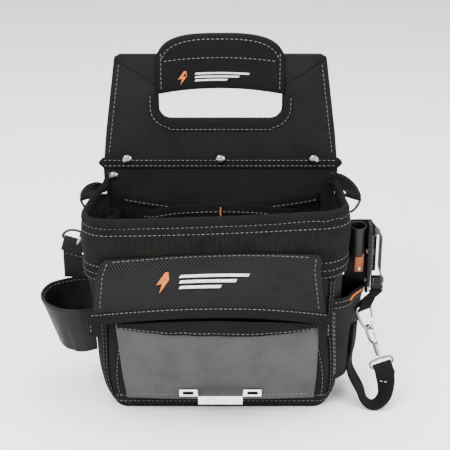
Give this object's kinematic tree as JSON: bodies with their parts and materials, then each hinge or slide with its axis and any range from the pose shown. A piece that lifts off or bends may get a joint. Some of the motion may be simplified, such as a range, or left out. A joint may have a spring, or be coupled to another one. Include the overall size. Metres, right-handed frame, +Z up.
{
  "type": "electrician tool pouch",
  "caption": "Open-top electrician tool pouch with a carry grip in its back panel, a front pocket under a flap, side holster loop, tape clip and strap with snap hook.",
  "frame": {"origin": "middle of the underside of the base panel, where the pouch stands", "axes": "+Z up, the front with the flap faces -Y, +X to the viewer's right, the side with the snap hook"},
  "size_m": [0.3559, 0.1496, 0.36],
  "materials": {
    "ballistic_polyester": "coarse diagonal weave, matte",
    "webbing": "ribbed webbing, matte",
    "binding_tape": "dark tape with pale stitching",
    "grey_fabric": "fine grey weave with a slight sheen",
    "black_leather": "smooth black leather",
    "orange_leather": "orange-brown leather",
    "board": "hidden stiffener board",
    "nickel": "nickel-plated, satin",
    "bright_steel": "bright plated steel",
    "dark_steel": "dark plated steel"
  },
  "bodies": {
    "pouch": {"back_panel": "ballistic_polyester", "back_stiffener": "board", "band_hem": "binding_tape", "base_board": "board", "base_panel": "ballistic_polyester", "belt_tunnel": "webbing", "bracket_keeper_left": "webbing", "bracket_keeper_right": "webbing", "clip_rivet": "nickel", "divider_pocket": "ballistic_polyester", "elastic_tool_loop": "webbing", "front_facing": "ballistic_polyester", "front_panel": "ballistic_polyester", "grey_pocket_front": "grey_fabric", "gusset_rivet_left": "nickel", "handle_grip": "ballistic_polyester", "hanger_strap": "black_leather", "holster_back": "black_leather", "holster_loop": "black_leather", "holster_tab": "black_leather", "hook_webbing": "webbing", "inner_back_pocket": "ballistic_polyester", "opening_binding": "binding_tape", "pen_tube": "black_leather", "pocket_binding": "binding_tape", "pocket_gusset_left": "ballistic_polyester", "pocket_gusset_right": "ballistic_polyester", "rect_ring": "bright_steel", "ribbed_band": "webbing", "rim_binding": "binding_tape", "ring_rivet": "nickel", "ring_tab": "black_leather", "side_gusset_left": "ballistic_polyester", "side_gusset_right": "ballistic_polyester", "side_pocket_right": "ballistic_polyester", "side_strap_left": "webbing", "tab_rivet_left": "nickel", "tab_rivet_right": "nickel", "tape_clip": "dark_steel", "tape_strap": "webbing", "tool_bracket": "bright_steel", "tube_rivet": "nickel", "tube_tab": "orange_leather", "upper_tab_left": "webbing", "upper_tab_right": "webbing", "welt_rivet_centre": "nickel", "welt_rivet_left": "nickel", "welt_rivet_right": "nickel", "welt_strip": "binding_tape"},
    "flap": {"flap": "ballistic_polyester", "flap_trim": "binding_tape"},
    "holster_ring": {"holster_d_ring": "dark_steel"},
    "upper_ring_left": {"upper_d_ring_left": "dark_steel"},
    "upper_ring_right": {"upper_d_ring_right": "dark_steel"},
    "link_ring": {"link_ring_left": "nickel"},
    "ring": {"hook_ring": "nickel"},
    "eye": {"swivel_eye": "nickel"},
    "hook": {"snap_hook": "nickel"},
    "gate": {"snap_gate": "nickel"}
  },
  "joints": [
    {"name": "flap_hinge", "type": "hinge", "parent": "pouch", "child": "flap", "pos_m": [0, -0.0567, 0.1685], "axis": [-1, 0, 0], "range_deg": [0, 110]},
    {"name": "holster_ring_swing", "type": "hinge", "parent": "pouch", "child": "holster_ring", "pos_m": [-0.1505, 0.0295, 0.1492], "axis": [0.9563, 0, -0.2924], "range_deg": [-55, 55]},
    {"name": "upper_ring_left_swing", "type": "hinge", "parent": "pouch", "child": "upper_ring_left", "pos_m": [-0.1332, 0.01947, 0.20213], "axis": [-0.9344, 0.1005, -0.3416], "range_deg": [-12, 12]},
    {"name": "upper_ring_right_swing", "type": "hinge", "parent": "pouch", "child": "upper_ring_right", "pos_m": [0.1332, 0.01947, 0.20213], "axis": [0.9344, 0.1005, -0.3416], "range_deg": [-25, 25]},
    {"name": "link_ring_swing", "type": "hinge", "parent": "pouch", "child": "link_ring", "pos_m": [-0.13967, 0.01, 0.16352], "axis": [0, 1, 0], "range_deg": [-20, 20]},
    {"name": "ring_sway", "type": "hinge", "parent": "pouch", "child": "ring", "pos_m": [0.14438, -0.01203, 0.09402], "axis": [0.7749, 0.632, 0.011], "range_deg": [-2.5, 2.5]},
    {"name": "eye_sway", "type": "hinge", "parent": "pouch", "child": "eye", "pos_m": [0.16386, -0.03497, 0.03946], "axis": [0.9268, -0.024, 0.3749], "range_deg": [-2.2, 2.2]},
    {"name": "hook_swivel", "type": "hinge", "parent": "eye", "child": "hook", "pos_m": [0.1605, -0.031, 0.048], "axis": [-0.3356, 0.3967, 0.8544], "range_deg": [-10, 10]},
    {"name": "gate_hinge", "type": "hinge", "parent": "hook", "child": "gate", "pos_m": [0.1577, -0.02785, 0.06416], "axis": [-0.7749, -0.632, -0.011], "range_deg": [0, 20], "stiffness_Nm_per_rad": 0.01, "springref_deg": -8.59}
  ],
  "couplings": [
    {"joint": "eye_sway", "follows": "ring_sway", "ratio": -0.849}
  ]
}
